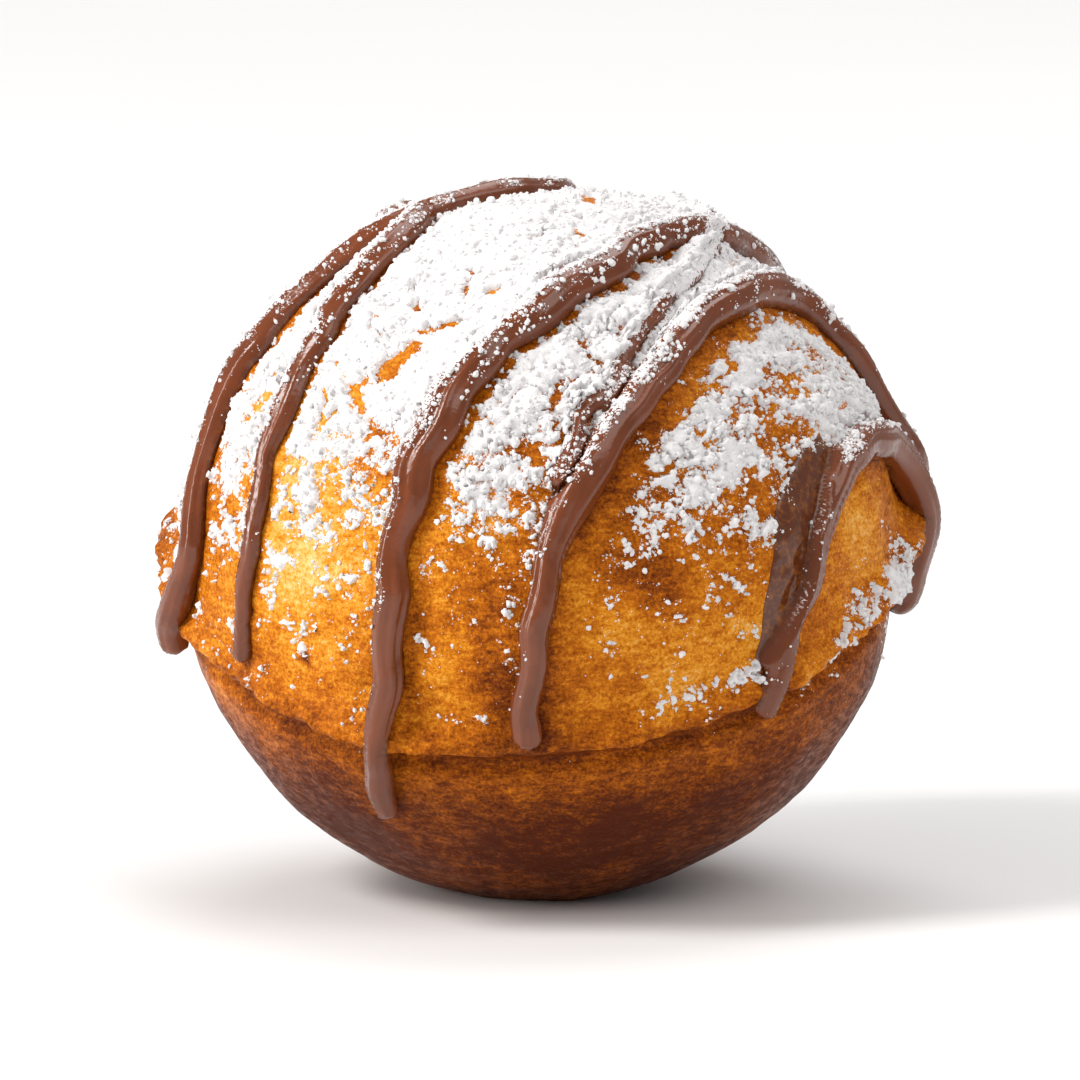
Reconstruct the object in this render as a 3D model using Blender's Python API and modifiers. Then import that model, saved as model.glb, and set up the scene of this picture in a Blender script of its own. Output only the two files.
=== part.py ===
"""A bite-size waffle ball: batter baked in a mould of two half rounds, with poured chocolate drizzle.

Run with: blender --background --python part.py
Units are metres, +Z is up and -Y is the front. The origin is the middle of the small flat spot that the
ball rests on. The drizzle is fused to the crust, so the ball is one solid.
"""

import math

import bmesh
import bpy
from mathutils import Euler, Vector, noise
from mathutils.bvhtree import BVHTree

MM = 0.001

# Driving sizes of the crust
BODY_RADIUS = 20.4 * MM  # across the mould's joint, without the lip
POLE_RADIUS = 19.9 * MM  # from the joint to the top of a half
LOWER_INSET = 0.25 * MM  # the lower half is this much narrower
REST_RADIUS = 6.0 * MM  # the flat spot underneath
CENTRE_HEIGHT = math.sqrt((BODY_RADIUS - LOWER_INSET) ** 2 - REST_RADIUS**2)
LEAN = Euler((math.radians(24), math.radians(-4), 0))  # as the ball lies, its top half tips to the front

# The lip of batter squeezed out between the two halves, and the groove under it
LIP_WIDTH = 1.15 * MM
LIP_HEIGHT = 0.25 * MM  # above the joint
LIP_SOFT_SIDE = 1.1 * MM  # how far the lip fades into the upper half
LIP_SHARP_SIDE = 0.68 * MM
GROOVE_DEPTH = 0.45 * MM
GROOVE_HEIGHT = -1.4 * MM
GROOVE_REACH = 0.55 * MM

# How the lip comes and goes round the ball, in shares of its width
LIP_LEAST, LIP_USUAL, LIP_MOST = 0.15, 0.8, 1.5
LIP_ON_THE_RIGHT = 0.45  # more batter came out there
LIP_WAVE_SIZE, LIP_WAVE_SHARE, LIP_WAVE_PLACE = 12.9 * MM, 0.75, Vector((1.7, 5.2, 0.3))
LIP_RAG_SIZE, LIP_RAG_SHARE, LIP_RAG_PLACE = 2.8 * MM, 0.45, Vector((8.3, 0.9, 4.4))

# Unevenness of the baked surface: its grain, its height and where in the noise it is read
SWELL_SIZE, SWELL_HEIGHT, SWELL_PLACE = 10.0 * MM, 0.45 * MM, Vector((3.1, 0.4, 7.7))
DIMPLE_SIZE, DIMPLE_HEIGHT, DIMPLE_PLACE = 3.6 * MM, 0.14 * MM, Vector((0.6, 9.2, 2.5))

# Mesh fineness
TURN_STEPS = 68
CAP_STEP = 7.0  # degrees between rings away from the joint
JOINT_BAND = 3.4 * MM  # finer rings this far to both sides of the joint
JOINT_RINGS = 14
SCREW_MERGE = 0.00005
CAP_MERGE = 0.00001
EDGE_ANGLE = math.radians(50)  # shading stays smooth over anything less sharp

# Drizzle: azimuth and elevation of points on the ball in degrees, then the thread's width in mm.
# Azimuth 0 faces the front and 90 the right side, and elevation 90 is straight up.
THREADS = {
    "far_left": [
        (-82, -15, 2.1), (-76, 2, 2.0), (-73, 16, 1.9), (-71, 32, 1.9), (-73, 46, 1.8), (-74, 60, 2.0),
        (-86, 76, 2.1), (168, 78, 2.1), (174, 56, 2.0), (176, 34, 2.2), (178, 14, 2.5), (179, 4, 2.3),
    ],
    "left": [
        (-55, -12, 1.5), (-53, 0, 1.4), (-51, 17, 1.5), (-52, 34, 1.6), (-54, 50, 1.8), (-60, 62, 2.0),
        (-78, 71, 1.8),
    ],
    "middle": [
        (-32, -38, 1.9), (-28, -28, 2.1), (-24, -8, 2.3), (-22, 12, 2.3), (-17, 32, 2.5), (-2, 49, 2.5),
        (28, 62, 2.3), (72, 65, 2.3), (102, 55, 2.1), (124, 38, 2.1), (136, 16, 2.0), (142, -6, 2.4),
        (144, -14, 2.2),
    ],
    "right": [
        (-3, -22, 2.2), (-1, -10, 1.9), (1, 6, 2.2), (10, 23, 2.5), (22, 36, 2.3), (42, 47, 2.3),
        (66, 50, 2.4), (86, 42, 2.2), (94, 26, 2.0), (102, 8, 2.0), (108, -10, 2.1), (112, -22, 2.2),
    ],
    "right_rib": [(3, 19, 1.3), (8, 30, 1.2), (19, 41, 1.2), (36, 52, 1.2), (58, 58, 1.2), (84, 62, 1.1)],
    "far_right": [
        (41, -19, 1.9), (42, -8, 2.3), (45, 1, 3.1), (50, 12, 2.7), (64, 19, 2.3), (80, 18, 2.3),
        (90, 8, 2.4), (95, -4, 2.6), (97, -11, 2.4),
    ],
    "back": [
        (96, 60, 1.9), (124, 62, 1.7), (148, 54, 1.7), (157, 38, 1.8), (159, 20, 1.9), (161, 0, 2.0),
        (162, -10, 2.4), (162, -16, 2.2),
    ],
    "back_left": [
        (-92, 70, 1.7), (-118, 60, 1.9), (-132, 44, 2.0), (-140, 24, 2.0), (-143, 4, 2.1), (-146, -14, 2.5),
        (-146, -21, 2.3),
    ],
}
THREAD_STEP = 1.3 * MM  # between the points of a thread
THREAD_SIDES = 2  # bevel resolution, which gives eight sides
THREAD_RISE = 0.12  # a thread's middle lies this share of its half width above the crust
TIP_PLACES = (0.0, 0.2, 0.5)  # where the step at each end of a thread is divided, to round its tip
TIP_WIDTHS = (0.35, 0.7, 0.92)  # how thick the tip is at those places
BULGE_SHARE, BULGES, BULGE_PLACE = 0.12, 5, Vector((2.2, 6.1, 0.8))  # a thread's width comes and goes
BRIDGING = 6  # rounds of easing that let a thread bridge the lip and small hollows

CRUST_COLOUR = (0.62, 0.25, 0.05, 1)
CRUST_ROUGHNESS = 0.6


def clear_scene():
    for thing in list(bpy.data.objects):
        bpy.data.objects.remove(thing)


def collection(name):
    made = bpy.data.collections.new(name)
    bpy.context.scene.collection.children.link(made)
    return made


def crust_material():
    made = bpy.data.materials.new("baked_crust")
    made.use_nodes = True
    shader = made.node_tree.nodes["Principled BSDF"]
    shader.inputs["Base Color"].default_value = CRUST_COLOUR
    shader.inputs["Roughness"].default_value = CRUST_ROUGHNESS
    shader.inputs["Metallic"].default_value = 0
    return made


def lip_at(height):
    """How much of the lip's width stands out at this height above the joint, from 0 to 1."""
    away = height - LIP_HEIGHT
    reach = LIP_SOFT_SIDE if away > 0 else LIP_SHARP_SIDE
    return math.exp(-((away / reach) ** 2))


def groove_at(height):
    return math.exp(-(((height - GROOVE_HEIGHT) / GROOVE_REACH) ** 2))


def ring_angles():
    """Angles from the upper pole, in radians, with closer rings at the joint."""
    band = math.acos(JOINT_BAND / POLE_RADIUS)
    cap_rings = round(math.degrees(band) / CAP_STEP)
    upper = [band * i / cap_rings for i in range(cap_rings)]
    joint = [band + (math.pi - 2 * band) * i / JOINT_RINGS for i in range(JOINT_RINGS + 1)]
    lower = [math.pi - angle for angle in reversed(upper)]
    return upper + joint + lower


def profile_points():
    """The ball's outline from the upper pole down its outer side to the lower pole, in the mould's frame."""
    points = []
    for angle in ring_angles():
        height = POLE_RADIUS * math.cos(angle)
        inset = LOWER_INSET if height < 0 else 0
        radius = (BODY_RADIUS - inset) * math.sin(angle) - GROOVE_DEPTH * groove_at(height)
        points.append(Vector((max(radius, 0), 0, height)))
    return points


def turned_ball(folder):
    """The even ball, as a profile turned about the mould's axis."""
    points = profile_points()
    mesh = bpy.data.meshes.new("profile")
    mesh.from_pydata(points, [(i, i + 1) for i in range(len(points) - 1)], [])
    ball = bpy.data.objects.new("waffle_ball", mesh)
    folder.objects.link(ball)
    turn = ball.modifiers.new("turn", "SCREW")
    turn.steps = turn.render_steps = TURN_STEPS
    turn.use_merge_vertices = True
    turn.merge_threshold = SCREW_MERGE
    apply_modifiers(ball)
    return ball


def apply_modifiers(thing):
    graph = bpy.context.evaluated_depsgraph_get()
    mesh = bpy.data.meshes.new_from_object(thing.evaluated_get(graph))
    thing.modifiers.clear()
    thing.data = mesh


def swelling(point):
    """How far the baked surface stands off the even ball at this point."""
    swell = noise.noise(point / SWELL_SIZE + SWELL_PLACE)
    dimple = noise.noise(point / DIMPLE_SIZE + DIMPLE_PLACE)
    return SWELL_HEIGHT * swell + DIMPLE_HEIGHT * dimple


def lip_width(point):
    """The lip's width beside this point, wide and ragged in places and nearly gone in others."""
    flat = Vector((point.x, point.y, 0))
    wave = LIP_WAVE_SHARE * noise.noise(flat / LIP_WAVE_SIZE + LIP_WAVE_PLACE)
    rag = LIP_RAG_SHARE * noise.noise(flat / LIP_RAG_SIZE + LIP_RAG_PLACE)
    right = LIP_ON_THE_RIGHT * max(0.0, point.x / BODY_RADIUS) ** 2
    return LIP_WIDTH * min(max(LIP_USUAL + wave + rag + right, LIP_LEAST), LIP_MOST)


def bake_unevenness(ball):
    """Gives the turned ball its swells, dimples and ragged lip."""
    for vertex in ball.data.vertices:
        point = vertex.co.copy()
        outwards = Vector((point.x, point.y, 0))
        if outwards.length > 0:
            outwards.normalize()
        vertex.co += point.normalized() * swelling(point) + outwards * lip_width(point) * lip_at(point.z)


def lay_down(ball):
    """Tips the ball as it lies, lifts it, and flattens the spot that it rests on."""
    mesh = bmesh.new()
    mesh.from_mesh(ball.data)
    bmesh.ops.rotate(mesh, verts=mesh.verts, matrix=LEAN.to_matrix())
    bmesh.ops.translate(mesh, verts=mesh.verts, vec=(0, 0, CENTRE_HEIGHT))
    everything = mesh.verts[:] + mesh.edges[:] + mesh.faces[:]
    floor, down = Vector((0, 0, 0)), Vector((0, 0, -1))
    cut = bmesh.ops.bisect_plane(mesh, geom=everything, plane_co=floor, plane_no=down, clear_outer=True)
    rim = [part for part in cut["geom_cut"] if isinstance(part, bmesh.types.BMEdge)]
    bmesh.ops.contextual_create(mesh, geom=rim)
    bmesh.ops.recalc_face_normals(mesh, faces=mesh.faces)
    mesh.to_mesh(ball.data)
    mesh.free()


def direction(azimuth, elevation):
    turn, rise = math.radians(azimuth), math.radians(elevation)
    return Vector((math.sin(turn) * math.cos(rise), -math.cos(turn) * math.cos(rise), math.sin(rise)))


def between(values, place):
    """A smooth curve through values, read at place, counted in steps from one value to the next."""
    i = min(int(place), len(values) - 2)
    t = place - i
    a, b, c, d = (values[min(max(i + k, 0), len(values) - 1)] for k in (-1, 0, 1, 2))
    return 0.5 * (2 * b + (c - a) * t + (2 * a - 5 * b + 4 * c - d) * t**2 + (3 * b - a - 3 * c + d) * t**3)


def thread_places(ways):
    """Places along a route, counted in steps between its points: evenly spaced, and closer at the tips."""
    places = []
    for i in range(len(ways) - 1):
        count = max(2, round(ways[i].angle(ways[i + 1]) * BODY_RADIUS / THREAD_STEP))
        places += [i + k / count for k in range(count)]
    end = len(ways) - 1
    first_step, last_step = places[1], end - places[-1]
    head = [first_step * share for share in TIP_PLACES]
    tail = [end - last_step * share for share in reversed(TIP_PLACES)]
    return head + places[1:] + tail


def thread_stations(route):
    """Directions and half widths along one thread, whose ends are round."""
    ways = [direction(azimuth, elevation) for azimuth, elevation, _ in route]
    widths = [width for _, _, width in route]
    places = thread_places(ways)
    rounding = list(TIP_WIDTHS) + [1.0] * (len(places) - 2 * len(TIP_WIDTHS)) + list(reversed(TIP_WIDTHS))
    return [(between(ways, s).normalized(), between(widths, s) / 2 * tip) for s, tip in zip(places, rounding)]


def crust_distances(stations, crust):
    """How far out the crust is under each station, eased where a thread bridges the lip."""
    centre = Vector((0, 0, CENTRE_HEIGHT))
    real = [(crust.ray_cast(centre, way)[0] - centre).length for way, _ in stations]
    eased = real
    for _ in range(BRIDGING):
        before = [eased[0]] + eased[:-1]
        after = eased[1:] + [eased[-1]]
        eased = [max(own, (a + 2 * b + c) / 4) for own, a, b, c in zip(real, before, eased, after)]
    return eased


def thread(name, route, crust, folder):
    """One thread of drizzle, half sunk in the crust that it lies on."""
    centre = Vector((0, 0, CENTRE_HEIGHT))
    curve = bpy.data.curves.new(name, "CURVE")
    curve.dimensions = "3D"
    curve.bevel_depth = MM
    curve.bevel_resolution = THREAD_SIDES
    curve.use_fill_caps = True
    spline = curve.splines.new("POLY")
    stations = thread_stations(route)
    spline.points.add(len(stations) - 1)
    for point, (way, half), distance in zip(spline.points, stations, crust_distances(stations, crust)):
        bulge = 1 + BULGE_SHARE * noise.noise(way * BULGES + BULGE_PLACE)
        place = centre + way * (distance + half * THREAD_RISE * MM)
        point.co = (*place, 1)
        point.radius = half * bulge
    strand = bpy.data.objects.new(name, curve)
    folder.objects.link(strand)
    made_solid(strand, folder)


def made_solid(strand, folder):
    """Turns a thread's curve into a closed mesh, which a Boolean can join."""
    bpy.context.view_layer.update()
    graph = bpy.context.evaluated_depsgraph_get()
    mesh = bpy.data.meshes.new_from_object(strand.evaluated_get(graph))
    shape = bmesh.new()
    shape.from_mesh(mesh)
    bmesh.ops.remove_doubles(shape, verts=shape.verts, dist=CAP_MERGE)
    bmesh.ops.recalc_face_normals(shape, faces=shape.faces)
    shape.to_mesh(mesh)
    shape.free()
    solid = bpy.data.objects.new(strand.name + "_solid", mesh)
    solid.matrix_world = strand.matrix_world
    folder.objects.link(solid)
    bpy.data.objects.remove(strand)


def pour_drizzle(ball):
    """Lays every thread on the crust and fuses them all to it in one union."""
    corners = [vertex.co for vertex in ball.data.vertices]
    crust = BVHTree.FromPolygons(corners, [face.vertices for face in ball.data.polygons])
    drizzle = collection("drizzle")
    for name, route in THREADS.items():
        thread(name, route, crust, drizzle)
    union = ball.modifiers.new("fuse_drizzle", "BOOLEAN")
    union.operation = "UNION"
    union.operand_type = "COLLECTION"
    union.collection = drizzle
    union.solver = "EXACT"
    apply_modifiers(ball)
    for strand in list(drizzle.objects):
        bpy.data.objects.remove(strand)
    bpy.data.collections.remove(drizzle)


def main():
    clear_scene()
    parts = collection("waffle_ball")
    ball = turned_ball(parts)
    bake_unevenness(ball)
    lay_down(ball)
    pour_drizzle(ball)
    ball.data.materials.clear()
    ball.data.materials.append(crust_material())
    ball.data.shade_smooth()
    ball.data.set_sharp_from_angle(angle=EDGE_ANGLE)


main()
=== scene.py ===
"""A waffle ball with chocolate drizzle and powdered sugar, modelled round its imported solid.

Units are metres, +Z is up and -Y is the front. The origin is the middle of the flat spot that it rests on.
"""

import math

import bpy
import numpy as np
from bpy.props import FloatProperty, FloatVectorProperty, IntProperty, PointerProperty
from mathutils import Euler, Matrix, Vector, noise
from mathutils.bvhtree import BVHTree
from mathutils.kdtree import KDTree


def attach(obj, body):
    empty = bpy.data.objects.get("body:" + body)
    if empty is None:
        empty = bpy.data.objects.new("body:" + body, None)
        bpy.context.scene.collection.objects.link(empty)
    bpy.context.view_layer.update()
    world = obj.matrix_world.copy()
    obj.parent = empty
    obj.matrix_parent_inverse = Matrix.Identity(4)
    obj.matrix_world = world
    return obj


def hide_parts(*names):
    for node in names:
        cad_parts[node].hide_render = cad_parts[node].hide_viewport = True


bl_info = {
    "name": "Waffle Ball",
    "version": (1, 0, 0),
    "blender": (4, 5, 0),
    "location": "3D View > Sidebar > Waffle Ball",
    "description": "Dresses the solid of a waffle ball with its crust, chocolate drizzle and powdered sugar",
    "category": "Add Mesh",
}

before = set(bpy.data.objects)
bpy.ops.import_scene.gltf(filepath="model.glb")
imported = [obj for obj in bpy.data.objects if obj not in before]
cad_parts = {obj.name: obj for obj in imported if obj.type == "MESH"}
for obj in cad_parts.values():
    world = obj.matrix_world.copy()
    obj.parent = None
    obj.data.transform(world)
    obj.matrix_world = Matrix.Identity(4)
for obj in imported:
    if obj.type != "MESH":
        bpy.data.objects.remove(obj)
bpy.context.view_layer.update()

MM = 0.001
BODY = "root"

# The mould's form, close to the part's source, with the lip and the groove a little finer
BODY_RADIUS = 20.4 * MM
POLE_RADIUS = 19.9 * MM
LOWER_INSET, INSET_BELOW = 0.25 * MM, -0.6 * MM
REST_RADIUS = 6.0 * MM
CENTRE = Vector((0, 0, math.sqrt((BODY_RADIUS - LOWER_INSET) ** 2 - REST_RADIUS**2)))
LEAN = Euler((math.radians(24), math.radians(-4), 0)).to_matrix()
LIP_HEIGHT, LIP_SOFT_SIDE, LIP_SHARP_SIDE = 0.25 * MM, 1.1 * MM, 0.55 * MM
GROOVE_HEIGHT, GROOVE_REACH = -1.4 * MM, 0.55 * MM
LIP_LEAST, LIP_USUAL, LIP_MOST = 0.15, 0.8, 1.5
LIP_ON_THE_RIGHT = 0.45
LIP_WAVE_SIZE, LIP_WAVE_SHARE, LIP_WAVE_PLACE = 12.9 * MM, 0.75, Vector((1.7, 5.2, 0.3))
LIP_RAG_SIZE, LIP_RAG_SHARE, LIP_RAG_PLACE = 2.8 * MM, 0.45, Vector((8.3, 0.9, 4.4))
LIP_CRUMB_SIZE, LIP_CRUMB_SHARE, LIP_CRUMB_PLACE = 0.9 * MM, 0.34, Vector((2.9, 3.3, 6.1))
SWELL_SIZE, SWELL_HEIGHT, SWELL_PLACE = 10.0 * MM, 0.45 * MM, Vector((3.1, 0.4, 7.7))
DIMPLE_SIZE, DIMPLE_HEIGHT, DIMPLE_PLACE = 3.6 * MM, 0.14 * MM, Vector((0.6, 9.2, 2.5))

# The crust's fine relief, which is even on the lower half and lumpy above the joint
LUMP_SIZE, LUMP_HEIGHT = 1.5 * MM, 0.09 * MM
GRAIN_SIZE, GRAIN_HEIGHT, GRAIN_PLACE = 0.7 * MM, 0.05 * MM, Vector((5, 0, 0))
PIT_SIZE, PIT_HEIGHT, PIT_PLACE = 1.0 * MM, -0.1 * MM, Vector((0, 7, 0))
PIT_FROM, PIT_TO = 0.28, 0.5
SMOOTH_BELOW, LUMPY_ABOVE, LOWER_SHARE = -2 * MM, 1 * MM, 0.5

# Drizzle: azimuth and elevation of points on the ball in degrees, then the thread's width in mm.
# Azimuth 0 faces the front and 90 the right side, and elevation 90 is straight up.
THREADS = {
    "far_left": [
        (-80, -14, 2.0), (-70, 1, 1.7), (-71, 16, 1.7), (-71, 32, 1.9), (-73, 46, 1.8), (-74, 60, 2.0),
        (-86, 76, 1.9), (168, 78, 1.7), (174, 56, 1.9), (176, 34, 2.2), (178, 14, 2.5), (179, 4, 2.3),
    ],
    "left": [
        (-55, -12, 1.3), (-53, 0, 1.15), (-51, 17, 1.3), (-52, 34, 1.6), (-54, 50, 1.8), (-60, 62, 2.0),
        (-78, 71, 1.8),
    ],
    "middle": [
        (-32, -38, 1.4), (-28, -28, 1.7), (-24, -8, 1.8), (-22, 12, 2.1), (-17, 32, 2.5), (-2, 49, 2.5),
        (28, 62, 2.3), (72, 65, 2.3), (102, 55, 2.1), (124, 38, 2.1), (136, 16, 2.0), (142, -6, 2.4),
        (144, -14, 2.2),
    ],
    "right": [
        (-3, -22, 1.9), (-1, -10, 1.55), (1, 6, 1.8), (10, 23, 2.5), (22, 36, 2.3), (42, 47, 2.3),
        (66, 50, 2.4), (86, 42, 2.2), (94, 26, 2.0), (102, 8, 2.0), (108, -10, 2.1), (112, -22, 2.2),
    ],
    "right_rib": [(3, 19, 1.3), (8, 30, 1.2), (19, 41, 1.2), (36, 52, 1.2), (58, 58, 1.2), (84, 62, 1.1)],
    "far_right": [
        (39, -19, 1.5), (41, -8, 1.5), (46, 2, 1.6), (52, 12, 1.8), (64, 19, 2.2), (80, 18, 2.3),
        (90, 8, 2.4), (95, -4, 2.6), (97, -11, 2.4),
    ],
    "far_right_film": [
        (39, -12, 1.7), (41, -3, 2.6), (43, 5, 3.1), (45, 12, 3.1), (50, 18, 2.6), (58, 21, 2.0),
    ],
    "back": [
        (96, 60, 1.9), (124, 62, 1.7), (148, 54, 1.7), (157, 38, 1.8), (159, 20, 1.9), (161, 0, 2.0),
        (162, -10, 2.4), (162, -16, 2.2),
    ],
    "back_left": [
        (-92, 70, 1.7), (-118, 60, 1.9), (-132, 44, 2.0), (-140, 24, 2.0), (-143, 4, 2.1), (-146, -14, 2.5),
        (-146, -21, 2.3),
    ],
}
SHELTER = {  # mm of bare crust beside a thread, on the side that the sugar didn't reach
    "far_left": 0.5, "left": 0.4, "middle": 0.55, "right": 1.5, "right_rib": 0.0, "far_right": 3.2,
    "far_right_film": 0.0, "back": 0.5, "back_left": 0.5,
}
THREAD_STEP = 0.2 * MM
THREAD_RISE = 0.12
TIP_LEAST = 0.2
BULGE_SHARE, BULGES, BULGE_PLACE = 0.22, 6, Vector((2.2, 6.1, 0.8))
WANDER, WANDERS = 0.5 * MM, 7
WANDER_PLACES = [Vector((1.3, 6.2, 3.9)), Vector((7.4, 2.8, 5.1)), Vector((4.6, 9.5, 0.7))]
BRIDGING, SOFTENING = 560, 30
RIDGE_TURNS, RIDGE_LENGTH, RIDGE_FINER = 2.6, 13 * MM, 2.1
FILM = "far_right_film"
FILM_HEIGHT, FILM_FROM, FILM_TO = 0.12, 0.15 * MM, 0.55 * MM
THIN_FROM, THIN_TO = 0.15 * MM, 0.5 * MM

# Strokes and bare gaps of the sugar: azimuth and elevation of both ends in degrees, radius in mm, and
# how much sugar they add
SUGAR_STROKES = [
    (-34, 72, -23, 41, 3.7, 0.4), (16, 52, 2, 36, 2.2, 0.14), (-2, 30, -10, 13, 1.3, 0.2),
    (-44, 28, -29, 18, 3.0, 0.12), (-59, 42, -57, 33, 1.0, 0.15), (-53, 9, -46, 4, 0.5, 0.6),
    (-63, 17, -61, 13, 0.4, 0.35), (-68, 28, -62, 30, 0.5, 0.3), (43, 37, 65, 43, 1.4, 0.2),
    (53, 27, 86, 24, 1.4, 0.26), (-40, 12, -28, 10, 2.5, 0.1), (23, 24, 29, 22, 0.7, 0.3),
    (27, 16, 35, 22, 0.7, 0.4), (36, 21, 43, 20, 0.5, 0.32), (15, 15, 23, 14, 0.7, 0.2),
    (19, 12, 18, 7, 0.4, 0.35), (35, 11, 42, 9, 0.5, 0.32), (52, 23, 61, 19, 0.9, 0.3),
    (20, -17, 37, -12, 0.65, 0.5), (55, -7, 72, -2, 0.8, 0.42), (72, -2, 84, 3, 1.0, 0.38),
    (-16, -18, -6, -19, 0.4, 0.42), (-34, 2, -32, 0, 0.35, 0.4), (-42, -10, -39, -9, 0.25, 0.35),
    (-32, 37, -28, 42, 0.7, -0.85), (-28, 45, -17, 48, 0.35, -0.9), (-15, 54, -11, 56, 0.3, -0.8),
    (-21, 53, -22, 60, 0.3, -0.8), (-38, 33, -35, 30, 0.4, -0.6), (9, 44, 10, 42, 0.35, -0.6),
    (17, 44, 19, 46, 0.35, -0.55), (3, 33, 4, 36, 0.35, -0.55), (-7, 24, -1, 24, 0.5, -0.4),
    (72, 36, 56, 32, 0.8, -0.26), (41, 29, 54, 23, 0.9, -0.3), (17, 3, 29, 2, 1.7, -0.16),
    (57, 14, 66, 3, 1.3, -0.6), (40, 25, 70, 30, 7.0, -0.16), (130, 6, 122, 3, 0.8, 0.35),
    (-116, -4, -104, -6, 0.7, 0.3),
]

# Sugar that lies on the threads themselves, as strokes of the same kind
DUSTED_STROKES = [(24, 44, 40, 53, 0.6, 0.25), (40, 53, 58, 58, 0.8, 0.9), (58, 58, 90, 62, 0.8, 0.9)]

# Toasted and pale strokes: both ends in degrees, radius in mm, and how much browner they are.
# One of them is painted shade beside the middle thread.
TOAST_AND_SHADE_STROKES = [
    (15, 4, 20, 2, 1.7, 0.16), (17, 3, 17, 3, 0.8, 0.06), (12, 40, -2, 28, 2.4, 0.24),
    (-41, -11, -41, -11, 0.4, 0.6), (24, -12, 34, -8, 3.0, -0.24), (44, 2, 40, 10, 2.0, 0.08),
    (-30, 7, -30, 7, 6.0, -0.22), (-50, 20, -44, 4, 4.0, -0.2), (58, 12, 66, 4, 2.6, -0.14),
    (46, -15, 68, -7, 1.7, -0.3), (20, 20, 20, 20, 5.0, 0.1), (-44, -12, -34, -17, 2.6, -0.16),
    # The stroke from (-20, -14) to (-19, 2) is painted shade to the right of the middle thread's lower part
    (-12, 12, -8, -8, 3.0, 0.14), (-20, -14, -19, 2, 0.8, 0.16), (-16, -11, -14, -9, 2.0, -0.14),
    (150, 20, 150, 20, 6.0, 0.2), (-120, 15, -120, 15, 7.0, 0.12), (110, -30, 110, -30, 6.0, 0.12),
]

# The crust's browning: its usual level, clouds by how many lie across the ball's radius, slopes from one
# height to another in mm, and bands round a height in mm with their reach. Heights are from the joint.
# The band at the groove is painted shade in the crease, and the slopes that darken the crust below the lip
# are partly browning and partly painted shade.
TOAST_USUAL = 0.5
TOAST_CLOUDS = [(2.6, 0.2, Vector((4.0, 1.5, 0.2))), (7, 0.12, Vector((0.3, 8.0, 2.0)))]
TOAST_AND_SHADE_SLOPES = [(0.2, -1.0, 0.13), (-0.5, -8, 0.34)]
TOAST_AND_SHADE_BANDS = [(0.3, 1.6, 0.14), (-1.0, 0.6, 0.2), (3.5, 2.0, 0.04)]
# Painted shade beside the threads: its reach, and how much darker the crust is on the shaded and the lit side
THREAD_SHADE_REACH, THREAD_SHADE_SHADED_SIDE, THREAD_SHADE_LIT_SIDE = 1.1 * MM, 0.15, 0.04

# Where sugar lies: the least and most by height in degrees, then clumps and lace by their size in mm
SUGAR_BASE, SUGAR_RISE, SUGAR_FROM, SUGAR_TO = 0.12, 0.72, -12, 52
SUGAR_WANDERS, SUGAR_WANDER, SUGAR_WANDER_PLACE = 3, 12, Vector((7, 2, 5))
SUGAR_UNDER, UNDER_FROM, UNDER_TO = 0.4, -8, -35
SUGAR_CLUMPS = [(2.3, 0.24, Vector((1, 6, 3))), (1.1, 0.4, Vector((3, 1, 8)))]
SUGAR_LACE = [(0.5, 0.5, Vector((6, 4, 1))), (0.22, 0.45, Vector((2, 9, 4)))]
CRACK_SIZE, CRACK_WIDTH, CRACK_DEPTH, CRACK_PLACE = 2.0 * MM, 0.07, 0.8, Vector((9, 3, 2))
CRACKED_SIZE, CRACKED_FROM, CRACKED_TO, CRACKED_PLACE = 4 * MM, -0.1, 0.25, Vector((4, 4, 9))

# Sugar beside a thread: it gathers on the left side high up, and stays off the right and the low flanks.
# The bank on that side and the sinking of the cover's edge are in mm.
STEEP_FROM, STEEP_TO = 0.1, 0.6
GATHERED, GATHER_REACH = 0.14, 1.2 * MM
ON_TOP, OFF_RIGHT, OFF_FLANK, FLANK_REACH = 0.22, 0.45, 0.36, 0.35 * MM
OVER_FROM, OVER_TO = -0.7, 0.3
SHELTERED, SHELTER_FROM, SHELTER_TO = 0.65, 0.5, 1.3
BANK_HEIGHT, BANK_STEEP_FROM, BANK_STEEP_TO = 0.75, 0.25, 0.6
BANK_FROM, BANK_TO, BANKED_FROM, BANKED_TO = -0.15 * MM, 1.0 * MM, 0.6, 0.9

# The cover of sugar: the amounts that its sheet keeps to, before and after it is cut finer
SHEET_LEAST, COVER_LEAST, COVER_SHARE = 0.26, 0.46, 0.55
SUNK, SUNK_FROM, SUNK_TO = 0.12, 0.45, 0.54

# Its height: steps by the amount of sugar, a soft swelling by its size in mm, and crumbs by size and height
SUGAR_STEPS = [(0.5, 0.6, 0.65), (0.6, 1.1, 0.35)]
SUGAR_SWELLS = [(1.7, 1.2, Vector((0, 0, 0))), (0.83, 0.7, Vector((2, 5, 7)))]
SUGAR_CRUMBS = [(0.5, 0.05), (0.23, 0.03)]
SWELL_USUAL, SWELL_SHARE, SWELL_LEAST = 0.75, 0.6, 0.15
SUGAR_TURN = Euler((0.6, 0.9, 0.4)).to_matrix()

# Loose sugar is scattered in batches of this many tries, nowhere lower than this share of the radius
BATCH, LOWEST_SUGAR = 40000, -0.55
LUMP_KINDS, LUMP_CROOK, LUMP_BUMPS = 6, 0.55, 2.2
LUMP_LEAST, LUMP_MOST = 0.75, 1.2
SMALL_SIZES, SUNK_SHARE, LUMP_TILT = 2.2, 0.12, 0.5
FULL_FROM, FULL_TO = 0.6, 0.8

# Sugar settles by how far a surface faces up: loose sugar, then the fine dust on the threads
SETTLES_FROM, SETTLES_TO = -0.35, 0.4
DUSTS_FROM, DUSTS_TO = -0.1, 0.6

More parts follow.
